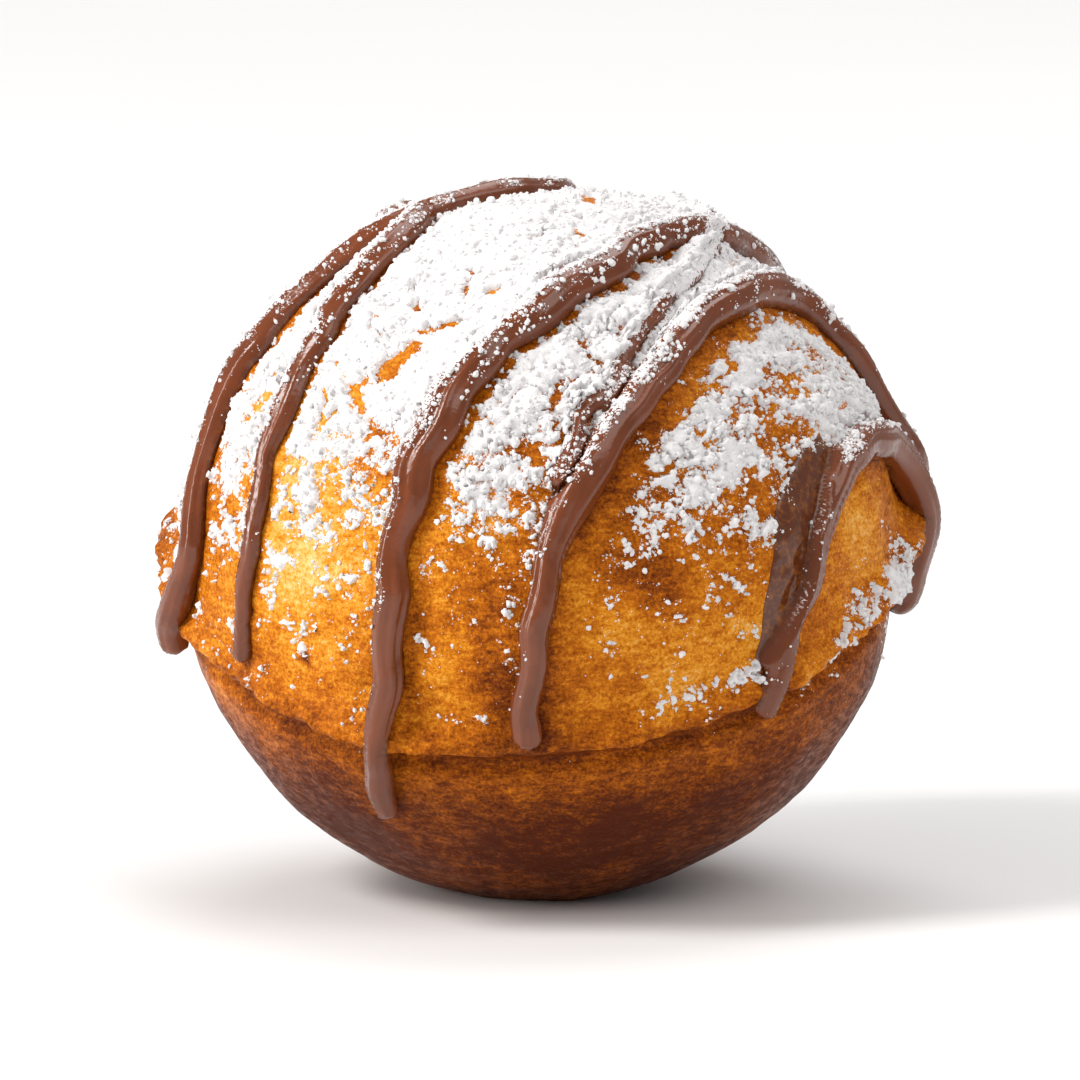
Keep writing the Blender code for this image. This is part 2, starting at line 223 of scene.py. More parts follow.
# Lights: azimuth and elevation in degrees, distance, width and height in metres, watts, and colour
LIGHTS = {
    "key": (-64, 44, 0.62, 0.24, 0.24, 2.5, (1.0, 0.985, 0.96)),
    "strip": (-75, 14, 0.6, 0.06, 0.46, 1.8, (1.0, 0.985, 0.96)),
    "fill": (52, 48, 0.8, 0.6, 0.6, 1.9, (1.0, 0.985, 0.965)),
    "back": (165, 62, 0.9, 0.7, 0.7, 3.5, (1.0, 1.0, 1.0)),
}
ROOM_COLOUR, ROOM_STRENGTH = (1.0, 0.99, 0.98, 1), 0.40
FLOOR_SIZE, FLOOR_COLOURS, FLOOR_CLOUDS = 12, [(0.88, 0.88, 0.88, 1), (0.91, 0.91, 0.91, 1)], 60 * MM
AIM_ABOVE, CLIP_START = 0.4 * MM, 0.05


def direction(azimuth, elevation):
    turn, rise = math.radians(azimuth), math.radians(elevation)
    return Vector((math.sin(turn) * math.cos(rise), -math.cos(turn) * math.cos(rise), math.sin(rise)))


def eased(low, high, value):
    """0 below low, 1 above high, and a smooth rise between them."""
    t = min(max((value - low) / (high - low), 0.0), 1.0)
    return t * t * (3 - 2 * t)


def strokes_at(ways, strokes):
    """What a table of strokes adds up to in each of these directions."""
    total = np.zeros(len(ways))
    for azimuth, elevation, end_azimuth, end_elevation, radius, amount in strokes:
        start = np.array(direction(azimuth, elevation))
        along = np.array(direction(end_azimuth, end_elevation)) - start
        share = np.clip((ways - start) @ along / max(along @ along, 1e-9), 0, 1)
        away = np.linalg.norm(ways - start - share[:, None] * along, axis=1)
        total += amount * np.exp(-((away * BODY_RADIUS / (radius * MM)) ** 2))
    return total


def ways_to(points):
    """Directions from the ball's centre to these points, as rows."""
    ways = np.array(points, float) - np.array(CENTRE)
    return ways / np.linalg.norm(ways, axis=1)[:, None]


def colour_property(name, red, green, blue):
    return FloatVectorProperty(name=name, description=f"{name}, in linear light", subtype="COLOR", size=4,
                               min=0, max=1, default=(red, green, blue, 1))


def length_property(name, about, millimetres):
    return FloatProperty(name=name, description=about, unit="LENGTH", default=millimetres * MM)


class CrustSettings(bpy.types.PropertyGroup):
    """Sizes and colours of the baked crust."""

    lip_width: length_property("Lip width", "How far the lip stands out at the mould's joint", 1.15)
    groove_depth: length_property("Groove depth", "Depth of the groove under the lip", 0.6)
    pale: colour_property("Pale crust", 0.86, 0.54, 0.18)
    golden: colour_property("Golden crust", 0.77, 0.295, 0.016)
    amber: colour_property("Amber crust", 0.50, 0.128, 0.003)
    brown: colour_property("Brown crust", 0.22, 0.046, 0.001)
    dark: colour_property("Scorched crust", 0.085, 0.014, 0.002)
    cuts: IntProperty(name="Fineness", description="Cuts along each side of the cage", default=110, min=8)


class DrizzleSettings(bpy.types.PropertyGroup):
    """Sizes and colours of the chocolate."""

    voxel: length_property("Voxel", "Fineness at which the threads melt together", 0.19)
    ridge: length_property("Ridge", "Height of the ridges along a thread", 0.15)
    chocolate: colour_property("Milk chocolate", 0.14, 0.032, 0.008)
    film: colour_property("Thin chocolate", 0.085, 0.02, 0.005)
    worn: colour_property("Crust that shows through", 0.26, 0.08, 0.012)
    shine: FloatProperty(name="Roughness", description="Roughness of the set chocolate", default=0.18)


class SugarSettings(bpy.types.PropertyGroup):
    """Amount and colour of the powdered sugar."""

    thickness: length_property("Thickness", "Thickness of the sugar where it lies deepest", 0.4)
    sugar: colour_property("Sugar", 0.80, 0.785, 0.79)
    seed: IntProperty(name="Seed", description="Seed of the scattered sugar", default=11)


class StageSettings(bpy.types.PropertyGroup):
    """Camera, light and floor."""

    azimuth: FloatProperty(name="Azimuth", description="Degrees round from the front", default=0)
    elevation: FloatProperty(name="Elevation", description="Degrees above the horizon", default=9)
    distance: FloatProperty(name="Distance", description="From the ball", unit="LENGTH", default=0.98)
    lens: FloatProperty(name="Lens", description="Focal length in mm", default=580)


class Value:
    """A socket of a material, on which Python's operators add Math nodes."""

    def __init__(self, finish, socket):
        self.finish = finish
        self.socket = socket

    def maths(self, operation, *values):
        return self.finish.node("ShaderNodeMath", {"operation": operation}, dict(enumerate(values)))

    def __add__(self, other):
        return self.maths("ADD", self, other)

    def __radd__(self, other):
        return self.maths("ADD", other, self)

    def __sub__(self, other):
        return self.maths("SUBTRACT", self, other)

    def __rsub__(self, other):
        return self.maths("SUBTRACT", other, self)

    def __mul__(self, other):
        return self.maths("MULTIPLY", self, other)

    def __rmul__(self, other):
        return self.maths("MULTIPLY", other, self)

    def at_least(self, other):
        return self.maths("MAXIMUM", self, other)


class Finish:
    """A material under construction, with one way of adding nodes."""

    def __init__(self, name, constants):
        self.material = bpy.data.materials.new(name)
        self.material.use_nodes = True
        self.tree = self.material.node_tree
        self.shader = self.tree.nodes["Principled BSDF"]
        self.plug(self.shader, constants)

    def plug(self, node, values):
        for key, value in values.items():
            if isinstance(value, Value):
                self.tree.links.new(value.socket, node.inputs[key])
            else:
                node.inputs[key].default_value = value

    def node(self, kind, settings, values, output=0):
        made = self.tree.nodes.new(kind)
        for key, value in settings.items():
            if key == "stops":
                self.set_stops(made.color_ramp, value)
            else:
                setattr(made, key, value)
        self.plug(made, values)
        return Value(self, made.outputs[output])

    def set_stops(self, ramp, stops):
        while len(ramp.elements) < len(stops):
            ramp.elements.new(0.5)
        for element, (place, colour) in zip(ramp.elements, stops):
            element.position = place
            element.color = colour

    def place(self):
        return self.node("ShaderNodeTexCoord", {}, {}, "Object")

    def stretched(self, factors):
        values = {0: self.place(), 1: factors}
        return self.node("ShaderNodeVectorMath", {"operation": "MULTIPLY"}, values)

    def attribute(self, name):
        return self.node("ShaderNodeAttribute", {"attribute_name": name}, {}, "Fac")

    def mottle(self, size, detail=2.0, roughness=0.5, distortion=0.0, where=None):
        """Noise from 0 to 1 whose blotches are about this size."""
        values = {"Vector": where or self.place(), "Scale": 1 / size, "Detail": detail,
                  "Roughness": roughness, "Distortion": distortion}
        return self.node("ShaderNodeTexNoise", {}, values)

    def rise(self, value, low, high, least=0.0, most=1.0):
        """Smooth rise of a value from low to high."""
        values = {"Value": value, "From Min": low, "From Max": high, "To Min": least, "To Max": most}
        return self.node("ShaderNodeMapRange", {"interpolation_type": "SMOOTHSTEP"}, values)

    def blend(self, share, first, second):
        return self.node("ShaderNodeMix", {"data_type": "RGBA"}, {0: share, 6: first, 7: second}, 2)

    def ramp(self, value, stops):
        return self.node("ShaderNodeValToRGB", {"stops": stops}, {"Fac": value})

    def bump(self, height, depth, normal=None):
        """Relief of this depth in metres from a height of 0 to 1."""
        values = {"Height": height, "Strength": 1.0, "Distance": depth}
        if normal:
            values["Normal"] = normal
        return self.node("ShaderNodeBump", {}, values, "Normal")


def deselect():
    if bpy.context.object and bpy.context.object.mode != "OBJECT":
        bpy.ops.object.mode_set(mode="OBJECT")
    bpy.ops.object.select_all(action="DESELECT")


def select(piece):
    deselect()
    piece.select_set(True)
    bpy.context.view_layer.objects.active = piece


def modify(piece, kind, **settings):
    """Adds a modifier with these settings and applies it."""
    select(piece)
    bpy.ops.object.modifier_add(type=kind)
    modifier = piece.modifiers[-1]
    for key, value in settings.items():
        setattr(modifier, key, value)
    bpy.ops.object.modifier_apply(modifier=modifier.name)


def shade_smooth(piece):
    select(piece)
    bpy.ops.object.shade_smooth()


def dress(piece, finish):
    """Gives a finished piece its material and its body."""
    piece.data.materials.clear()
    piece.data.materials.append(finish.material)
    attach(piece, BODY)


def points_of(mesh):
    places = np.empty(len(mesh.vertices) * 3)
    mesh.vertices.foreach_get("co", places)
    return places.reshape(-1, 3)


def move_points(mesh, places):
    mesh.vertices.foreach_set("co", np.asarray(places, np.float32).ravel())
    mesh.update()


def store(mesh, name, values):
    """Keeps one number a vertex, for the material to read."""
    attribute = mesh.attributes.get(name) or mesh.attributes.new(name, "FLOAT", "POINT")
    attribute.data.foreach_set("value", np.asarray(values, np.float32))


def stored(mesh, name):
    values = np.empty(len(mesh.vertices), np.float32)
    mesh.attributes[name].data.foreach_get("value", values)
    return values


def surface_of(pieces):
    """A tree of these pieces' faces, for casting rays."""
    corners, faces, start = [], [], 0
    for piece in pieces:
        mesh = piece.data
        corners += [vertex.co for vertex in mesh.vertices]
        faces += [[start + v for v in face.vertices] for face in mesh.polygons]
        start += len(mesh.vertices)
    return BVHTree.FromPolygons(corners, faces)


def band(height, middle, reach):
    """1 at the middle height, and less the further from it."""
    return math.exp(-(((height - middle) / reach) ** 2))


def lip_at(height):
    return band(height, LIP_HEIGHT, LIP_SOFT_SIDE if height > LIP_HEIGHT else LIP_SHARP_SIDE)


def swelling(point):
    swell = noise.noise(point / SWELL_SIZE + SWELL_PLACE)
    dimple = noise.noise(point / DIMPLE_SIZE + DIMPLE_PLACE)
    return SWELL_HEIGHT * swell + DIMPLE_HEIGHT * dimple


def lip_width(point, width):
    flat = Vector((point.x, point.y, 0))
    wave = LIP_WAVE_SHARE * noise.noise(flat / LIP_WAVE_SIZE + LIP_WAVE_PLACE)
    rag = LIP_RAG_SHARE * noise.noise(flat / LIP_RAG_SIZE + LIP_RAG_PLACE)
    crumb = LIP_CRUMB_SHARE * noise.noise(point / LIP_CRUMB_SIZE + LIP_CRUMB_PLACE)
    right = LIP_ON_THE_RIGHT * max(0.0, point.x / BODY_RADIUS) ** 2
    return width * min(max(LIP_USUAL + wave + rag + crumb + right, LIP_LEAST), LIP_MOST)


def crumb_relief(point, height):
    """Fine unevenness of the crust, coarser on the upper half than on the lower."""
    upper = eased(SMOOTH_BELOW, LUMPY_ABOVE, height)
    lumps = noise.noise(point / LUMP_SIZE) * LUMP_HEIGHT
    grain = noise.noise(point / GRAIN_SIZE + GRAIN_PLACE) * GRAIN_HEIGHT
    pit = eased(PIT_FROM, PIT_TO, noise.noise(point / PIT_SIZE + PIT_PLACE)) * PIT_HEIGHT
    return (lumps + grain) * (LOWER_SHARE + (1 - LOWER_SHARE) * upper) + pit * upper


def baked(way, settings):
    """A point of the crust in the mould's own frame, for a direction from the ball's centre."""
    height = POLE_RADIUS * way.z
    across = Vector((way.x, way.y, 0))
    inset = LOWER_INSET * eased(0, INSET_BELOW, height)
    groove = settings.groove_depth * band(height, GROOVE_HEIGHT, GROOVE_REACH)
    radius = (BODY_RADIUS - inset) * across.length - groove
    outwards = across.normalized() if across.length > 0 else across
    even = outwards * max(radius, 0) + Vector((0, 0, height))
    lip = outwards * lip_width(even, settings.lip_width) * lip_at(height)
    return even + even.normalized() * (swelling(even) + crumb_relief(even, height)) + lip


def toast_and_shade_at(way, height):
    """How brown the crust is apart from its strokes, from 0 for pale to 1 for scorched.
    It includes painted shade in the groove under the lip, and partly down the lower half.
    """
    toast = TOAST_USUAL
    for fineness, share, place in TOAST_CLOUDS:
        toast += share * noise.noise(way * fineness + place)
    for start, end, share in TOAST_AND_SHADE_SLOPES:
        toast += share * eased(start * MM, end * MM, height)
    for middle, reach, share in TOAST_AND_SHADE_BANDS:
        toast += share * band(height, middle * MM, reach * MM)
    return toast


def between(values, place):
    """A smooth curve through values, read at place, counted in steps from one value to the next."""
    i = min(int(place), len(values) - 2)
    t = place - i
    a, b, c, d = (values[min(max(i + k, 0), len(values) - 1)] for k in (-1, 0, 1, 2))
    return 0.5 * (2 * b + (c - a) * t + (2 * a - 5 * b + 4 * c - d) * t**2 + (3 * b - a - 3 * c + d) * t**3)


def thread_stations(route):
    """Directions and half widths along one thread, in mm, evenly spaced on the ball."""
    ways = [direction(azimuth, elevation) for azimuth, elevation, _ in route]
    widths = [width for _, _, width in route]
    places = []
    for i in range(len(ways) - 1):
        count = max(2, round(ways[i].angle(ways[i + 1]) * BODY_RADIUS / THREAD_STEP))
        places += [i + k / count for k in range(count)]
    places.append(len(ways) - 1)
    stations = []
    for i, place in enumerate(places):
        way = between(ways, place).normalized()
        half = between(widths, place) / 2
        aside = Vector([noise.noise(way * WANDERS + shift) for shift in WANDER_PLACES]) * WANDER / BODY_RADIUS
        stations.append(((way + aside).normalized(), half * tip_share(i, len(places), half)))
    return stations


def tip_share(i, count, half):
    """Rounds both ends of a thread over a length of its half width."""
    from_end = (min(i, count - 1 - i) + TIP_LEAST) * THREAD_STEP / (half * MM)
    share = min(1.0, from_end)
    return math.sqrt(1 - (1 - share) ** 2)


def evened(values):
    """Each value averaged with the ones beside it."""
    before = [values[0]] + values[:-1]
    after = values[1:] + [values[-1]]
    return [(a + 2 * b + c) / 4 for a, b, c in zip(before, values, after)]


def thread_line(route, crust):
    """Centre points and half widths of a thread that lies on the crust and bridges its hollows."""
    stations = thread_stations(route)
    real = [(crust.ray_cast(CENTRE, way)[0] - CENTRE).length for way, _ in stations]
    lifted = real
    for _ in range(BRIDGING):
        lifted = [max(own, even) for own, even in zip(real, evened(lifted))]
    for _ in range(SOFTENING):
        lifted = evened(lifted)
    line = []
    for (way, half), distance in zip(stations, lifted):
        bulge = 1 + BULGE_SHARE * noise.noise(way * BULGES + BULGE_PLACE)
        line.append((CENTRE + way * (distance + half * THREAD_RISE * MM), half * bulge * MM))
    return line


class ThreadMap:
    """Finds the thread next to a point: how far it is, on which side, and where along the thread."""

    def __init__(self, lines):
        self.samples = []
        for name, line in lines.items():
            walked = 0.0
            for i, (place, half) in enumerate(line):
                ahead = line[min(i + 1, len(line) - 1)][0] - line[max(i - 1, 0)][0]
                self.samples.append((name, place, half, ahead.normalized(), walked))
                walked += THREAD_STEP
        self.tree = KDTree(len(self.samples))
        for i, sample in enumerate(self.samples):
            self.tree.insert(sample[1], i)
        self.tree.balance()

    def near(self, point):
        """The next thread's name, the distance past its edge, the signed distance aside, its half width."""
        _, i, distance = self.tree.find(point)
        name, place, half, ahead, _ = self.samples[i]
        aside = (point - place).dot(ahead.cross((place - CENTRE).normalized()))
        return name, distance - half, aside, half

    def round(self, point):
        """Angle round the thread and place along it."""
        _, i, _ = self.tree.find(point)
        _, place, _, ahead, walked = self.samples[i]
        up = (place - CENTRE).normalized()
        across = ahead.cross(up)
        away = point - place
        return math.atan2(away.dot(across), away.dot(up)), walked


def height_share(point):
    return (point.z - CENTRE.z) / BODY_RADIUS


def beside_thread(point, threads):
    """What the thread next to a point adds to the sugar there, or keeps off it."""
    steep = eased(STEEP_FROM, STEEP_TO, height_share(point))
    name, past_edge, aside, half = threads.near(point)
    if past_edge < 0:
        over = eased(OVER_FROM, OVER_TO, aside / half)
        flank = max(over, eased(0, FLANK_REACH, -past_edge))
        return ON_TOP * steep - OFF_RIGHT * over - OFF_FLANK * flank
    if aside < 0:
        return GATHERED * steep * (1 - eased(0, GATHER_REACH, past_edge))
    gap = SHELTER[name] * MM
    return -SHELTERED * (1 - eased(SHELTER_FROM * gap, SHELTER_TO * gap, past_edge)) if gap else 0.0


def painted_thread_shade_at(point, threads):
    """Painted shade beside a thread: how much darker the crust is painted there, most on the shaded side."""
    _, past_edge, aside, _ = threads.near(point)
    return (THREAD_SHADE_SHADED_SIDE if aside > 0 else THREAD_SHADE_LIT_SIDE) * (1 - eased(0, THREAD_SHADE_REACH, past_edge))


def sugar_amounts(points, threads, lace=True):
    """How much sugar lies at each point: a thin veil near 0.35, a full cover above 0.6."""
    ways = ways_to(points)
    amounts = strokes_at(ways, SUGAR_STROKES)
    layers = SUGAR_CLUMPS + SUGAR_LACE if lace else SUGAR_CLUMPS
    for i, (point, row) in enumerate(zip(points, ways)):
        way = Vector(row)
        rise = math.degrees(math.asin(max(-1, min(1, way.z))))
        wander = noise.noise(way * SUGAR_WANDERS + SUGAR_WANDER_PLACE) * SUGAR_WANDER
        amount = SUGAR_BASE + SUGAR_RISE * eased(SUGAR_FROM, SUGAR_TO, rise + wander)
        amount -= SUGAR_UNDER * eased(UNDER_FROM, UNDER_TO, rise)
        for size, share, place in layers:
            amount += noise.noise(point / (size * MM) + place) * share
        crack = 1 - eased(0, CRACK_WIDTH, abs(noise.noise(point / CRACK_SIZE + CRACK_PLACE)))
        cracked = eased(CRACKED_FROM, CRACKED_TO, noise.noise(point / CRACKED_SIZE + CRACKED_PLACE))
        amount -= CRACK_DEPTH * crack * cracked
        amounts[i] += amount + beside_thread(point, threads)
    return amounts


def sugar_height(point, amount, threads, thickness):
    """Height of the sugar's surface over the crust."""
    turned = SUGAR_TURN @ point
    flake = sum(share * eased(start, end, amount) for start, end, share in SUGAR_STEPS)
    soft = sum(share * noise.noise(turned / (size * MM) + place) for size, share, place in SUGAR_SWELLS)
    crumbs = sum(height * noise.noise(turned / (size * MM)) for size, height in SUGAR_CRUMBS)
    _, past_edge, aside, _ = threads.near(point)
    bank = 0.0
    if aside < 0:
        beside = 1 - eased(BANK_FROM, BANK_TO, past_edge)
        bank = BANK_HEIGHT * beside * eased(BANKED_FROM, BANKED_TO, amount)
        bank *= eased(BANK_STEEP_FROM, BANK_STEEP_TO, height_share(point))
    sunk = SUNK * (1 - eased(SUNK_FROM, SUNK_TO, amount))
    swell = max(SWELL_USUAL + SWELL_SHARE * soft, SWELL_LEAST)
    return thickness * flake * swell + (crumbs * flake + bank - sunk) * MM


shared = {}


class WAFFLE_OT_crust(bpy.types.Operator):
    """Bakes the crust: a round cage moved into the mould's form, tipped, lifted and flattened underneath"""

    bl_idname = "waffle.crust"
    bl_label = "Crust"

    def execute(self, context):
        settings = context.scene.waffle_crust
        deselect()
        bpy.ops.mesh.primitive_cube_add(size=2)
        crust = context.object
        crust.name = "crust"
        bpy.ops.object.mode_set(mode="EDIT")
        bpy.ops.mesh.subdivide(number_cuts=settings.cuts)
        bpy.ops.object.mode_set(mode="OBJECT")
        ways = points_of(crust.data)
        ways = np.tan(ways * math.pi / 4)
        ways /= np.linalg.norm(ways, axis=1)[:, None]
        places, toast = [], []
        for row in ways:
            formed = baked(Vector(row), settings)
            lying = LEAN @ formed
            places.append(lying + CENTRE)
            toast.append(toast_and_shade_at(lying.normalized(), formed.z))
        move_points(crust.data, places)
        # Browning with painted shade: in the groove, partly down the lower half, and in one stroke beside the
        # middle thread
        store(crust.data, "toast", np.array(toast) + strokes_at(ways_to(places), TOAST_AND_SHADE_STROKES))
        bpy.ops.object.mode_set(mode="EDIT")
        bpy.ops.mesh.select_all(action="SELECT")
        bpy.ops.mesh.bisect(plane_co=(0, 0, 0), plane_no=(0, 0, -1), use_fill=True, clear_outer=True,
                            threshold=0.000001)
        bpy.ops.object.mode_set(mode="OBJECT")
        shade_smooth(crust)
        shared["crust"] = crust
        shared["surface"] = surface_of([crust])
        shared["lines"] = {name: thread_line(route, shared["surface"]) for name, route in THREADS.items()}
        shared["threads"] = ThreadMap(shared["lines"])
        points = [vertex.co for vertex in crust.data.vertices]
        store(crust.data, "sugar", sugar_amounts(points, shared["threads"], lace=False))
        # Painted shade: the crust is darkened beside each thread, most on its shaded right side
        thread_shades = [painted_thread_shade_at(point, shared["threads"]) for point in points]
        store(crust.data, "toast", stored(crust.data, "toast") + thread_shades)
        dress(crust, crust_finish(settings, context.scene.waffle_sugar))
        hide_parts("waffle_ball")
        return {"FINISHED"}


def crust_finish(settings, sugar_settings):
    finish = Finish("baked_crust", {"Specular IOR Level": 0.08})
    level = finish.stretched((1, 1, 2.4))
    grain = finish.mottle(0.2 * MM, 3, 0.75)
    speckle = finish.mottle(0.95 * MM, 4, 0.7, where=level)
    patches = finish.mottle(3.2 * MM, 3, 0.55, 0.6)
    # The attribute holds the browning together with painted shade beside the threads, in the groove and
    # partly below the lip
    toast = finish.attribute("toast") + (patches - 0.5) * 0.4 + (speckle - 0.5) * 0.9 + (grain - 0.5)
    stops = [(0.0, settings.pale), (0.27, settings.golden), (0.52, settings.amber), (0.78, settings.brown),
             (1.0, settings.dark)]
    colour = finish.ramp(toast, stops)
    dust_grain = finish.mottle(0.17 * MM, 2, 0.6)
    dust_clump = finish.mottle(0.45 * MM, 2, 0.6)
    sugar = finish.attribute("sugar")
    dust = finish.rise(sugar + (dust_grain - 0.5) + (dust_clump - 0.5) * 0.9, 0.5, 0.66, 0.0, 0.92)
    colour = finish.blend(dust, colour, sugar_settings.sugar)
    relief = finish.bump(grain, 0.09 * MM)
    relief = finish.bump(finish.mottle(0.6 * MM, 3, 0.6), 0.2 * MM, relief)
    roughness = finish.rise(speckle, 0.35, 0.65, 0.3, 0.52).at_least(dust * 0.9)
    finish.plug(finish.shader, {"Base Color": colour, "Roughness": roughness, "Normal": relief})
    return finish


class WAFFLE_OT_drizzle(bpy.types.Operator):
    """Pours the chocolate: one bevelled curve a thread, melted together and ridged along its length"""

    bl_idname = "waffle.drizzle"
    bl_label = "Drizzle"

    def execute(self, context):
        settings = context.scene.waffle_drizzle
        deselect()
        for name, line in shared["lines"].items():
            self.add_thread(context, name, line)
        bpy.ops.object.convert(target="MESH")
        bpy.ops.object.join()
        drizzle = context.object
        drizzle.name = "drizzle"
        bpy.ops.object.mode_set(mode="EDIT")
        bpy.ops.mesh.select_all(action="SELECT")
        bpy.ops.mesh.remove_doubles(threshold=0.00001)
        bpy.ops.mesh.normals_make_consistent(inside=False)
        bpy.ops.object.mode_set(mode="OBJECT")
        voxel = settings.voxel * 1
        modify(drizzle, "REMESH", mode="VOXEL", voxel_size=voxel, use_smooth_shade=True)
        modify(drizzle, "SMOOTH", factor=0.5, iterations=5)
        self.add_ridges(drizzle.data, settings)
        shade_smooth(drizzle)
        dress(drizzle, chocolate_finish(settings, context.scene.waffle_sugar))
        shared["drizzle"] = drizzle
        return {"FINISHED"}

    def add_thread(self, context, name, line):
        curve = bpy.data.curves.new(name, "CURVE")
        curve.dimensions = "3D"
        curve.bevel_depth = MM
        curve.bevel_resolution = 4
        curve.use_fill_caps = True
        spline = curve.splines.new("POLY")
        spline.points.add(len(line) - 1)
        for point, (place, half) in zip(spline.points, line):
            point.co = (*place, 1)
            point.radius = half / MM
        strand = bpy.data.objects.new(name, curve)
        context.collection.objects.link(strand)
        strand.select_set(True)
        context.view_layer.objects.active = strand

    def add_ridges(self, mesh, settings):
        """Ridges along the threads, with the film beside the right one pressed flat."""
        threads, crust = shared["threads"], shared["surface"]
        upright = ThreadMap({name: line for name, line in shared["lines"].items() if name != FILM})
        places, thin = [], []
        for vertex in mesh.vertices:
            angle, walked = threads.round(vertex.co)
            around = math.cos(angle) * RIDGE_TURNS, math.sin(angle) * RIDGE_TURNS
            along = Vector((*around, walked / RIDGE_LENGTH))
            ridge = noise.noise(along) + 0.5 * noise.noise(along * RIDGE_FINER)
            away = vertex.co + vertex.normal * ridge * settings.ridge - CENTRE
            way = away.normalized()
            ground = (crust.ray_cast(CENTRE, way)[0] - CENTRE).length
            over = away.length - ground
            if over > 0:
                past_edge = upright.near(vertex.co)[1]
                over *= 1 - (1 - FILM_HEIGHT) * eased(FILM_FROM, FILM_TO, past_edge)
            places.append(CENTRE + way * (ground + over))
            thin.append(1 - eased(THIN_FROM, THIN_TO, over))
        move_points(mesh, places)
        store(mesh, "thin", thin)
        amounts = sugar_amounts([vertex.co for vertex in mesh.vertices], threads, lace=False)
        upwards = [eased(DUSTS_FROM, DUSTS_TO, vertex.normal.z) for vertex in mesh.vertices]
        store(mesh, "sugar", amounts * upwards + strokes_at(ways_to(places), DUSTED_STROKES))


def chocolate_finish(settings, sugar_settings):
    finish = Finish("milk_chocolate", {"Specular IOR Level": 0.5})
    cloud = finish.mottle(2.2 * MM, 3, 0.5)
    fine = finish.mottle(0.2 * MM, 2, 0.5)
    lighter = tuple(min(1.0, c * 1.3) for c in settings.chocolate[:3]) + (1,)
    colour = finish.blend(finish.rise(cloud, 0.3, 0.75), settings.chocolate, lighter)
    colour = finish.blend(finish.attribute("thin") * 0.85, colour, settings.film)
    worn = finish.rise(finish.mottle(0.45 * MM, 4, 0.65), 0.45, 0.7, 0.0, 0.75)
    colour = finish.blend(finish.attribute("thin") * worn, colour, settings.worn)
    dust_grain = finish.mottle(0.13 * MM, 1, 0.5)
    dust_clump = finish.mottle(0.5 * MM, 2, 0.5)
    spread = finish.attribute("sugar") + (dust_grain - 0.5) * 1.3 + (dust_clump - 0.5) * 0.5
    dust = finish.rise(spread, 0.66, 0.76, 0.0, 0.95)
    colour = finish.blend(dust, colour, sugar_settings.sugar)
    relief = finish.bump(fine, 0.012 * MM)
    relief = finish.bump(cloud, 0.03 * MM, relief)
    polish = finish.rise(cloud, 0.3, 0.7, settings.shine - 0.05, settings.shine + 0.07)
    roughness = polish.at_least(dust * 0.9)
    finish.plug(finish.shader, {"Base Color": colour, "Roughness": roughness, "Normal": relief})
    return finish


class WAFFLE_OT_sugar_cover(bpy.types.Operator):
    """Lays the cover of sugar: the crust's own surface, raised where sugar is deep and sunk elsewhere"""

    bl_idname = "waffle.sugar_cover"
    bl_label = "Sugar cover"

    def execute(self, context):
        settings = context.scene.waffle_sugar
        crust = shared["crust"]
        select(crust)
        bpy.ops.object.duplicate()
        cover = context.object
        cover.name = "sugar_cover"
        cover.parent = None
        for key in [key for key in cover.keys() if key.startswith("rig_")]:
            del cover[key]
        self.keep_where(cover, SHEET_LEAST)
        bpy.ops.object.mode_set(mode="EDIT")
        bpy.ops.mesh.select_all(action="SELECT")
        bpy.ops.mesh.subdivide(number_cuts=2)
        bpy.ops.object.mode_set(mode="OBJECT")
        mesh, threads = cover.data, shared["threads"]
        sugar = sugar_amounts([vertex.co for vertex in mesh.vertices], threads)
        store(mesh, "sugar", sugar)
        places = []
        for vertex, amount in zip(mesh.vertices, sugar):
            height = sugar_height(vertex.co, amount, threads, settings.thickness)
            places.append(vertex.co + vertex.normal * height)
        move_points(mesh, places)
        self.keep_where(cover, COVER_LEAST)
        modify(cover, "DECIMATE", ratio=COVER_SHARE)
        shade_smooth(cover)
        dress(cover, sugar_finish("sugar_powder", settings))
        shared["cover"] = cover
        return {"FINISHED"}

    def keep_where(self, cover, least):
        """Deletes the faces whose corners all have less sugar than this."""
        mesh = cover.data
        amounts = stored(mesh, "sugar")
        for vertex, amount in zip(mesh.vertices, amounts):
            vertex.select = bool(amount < least)
        for edge in mesh.edges:
            edge.select = False
        for face in mesh.polygons:
            face.select = all(amounts[v] < least for v in face.vertices)
        select(cover)
        bpy.ops.object.mode_set(mode="EDIT")
        bpy.ops.mesh.select_mode(type="FACE")
        bpy.ops.mesh.delete(type="FACE")
        bpy.ops.mesh.select_mode(type="VERT")
        bpy.ops.object.mode_set(mode="OBJECT")


def sugar_finish(name, settings):
    finish = Finish(name, {"Base Color": settings.sugar, "Roughness": 0.85, "Specular IOR Level": 0.3})
    relief = finish.bump(finish.mottle(0.12 * MM, 3, 0.7), 0.045 * MM)
    relief = finish.bump(finish.mottle(0.45 * MM, 3, 0.7), 0.06 * MM, relief)
    finish.plug(finish.shader, {"Normal": relief})
    return finish


# Kinds of loose sugar: piece, how many, least and greatest size in mm, cuts of its round seed, the sugar
# amounts where it begins and where it is densest, and how much of it lies on the full cover
LOOSE_SUGAR = [
    ("sugar_dust", 24000, 0.05, 0.12, 0, 0.08, 0.6, 0.35),
    ("sugar_specks", 24000, 0.10, 0.22, 0, 0.16, 0.62, 0.15),
    ("sugar_grains", 8000, 0.18, 0.34, 1, 0.28, 0.62, 0.15),
    ("sugar_crumbs", 700, 0.30, 0.50, 2, 0.45, 0.68, 0.12),
]


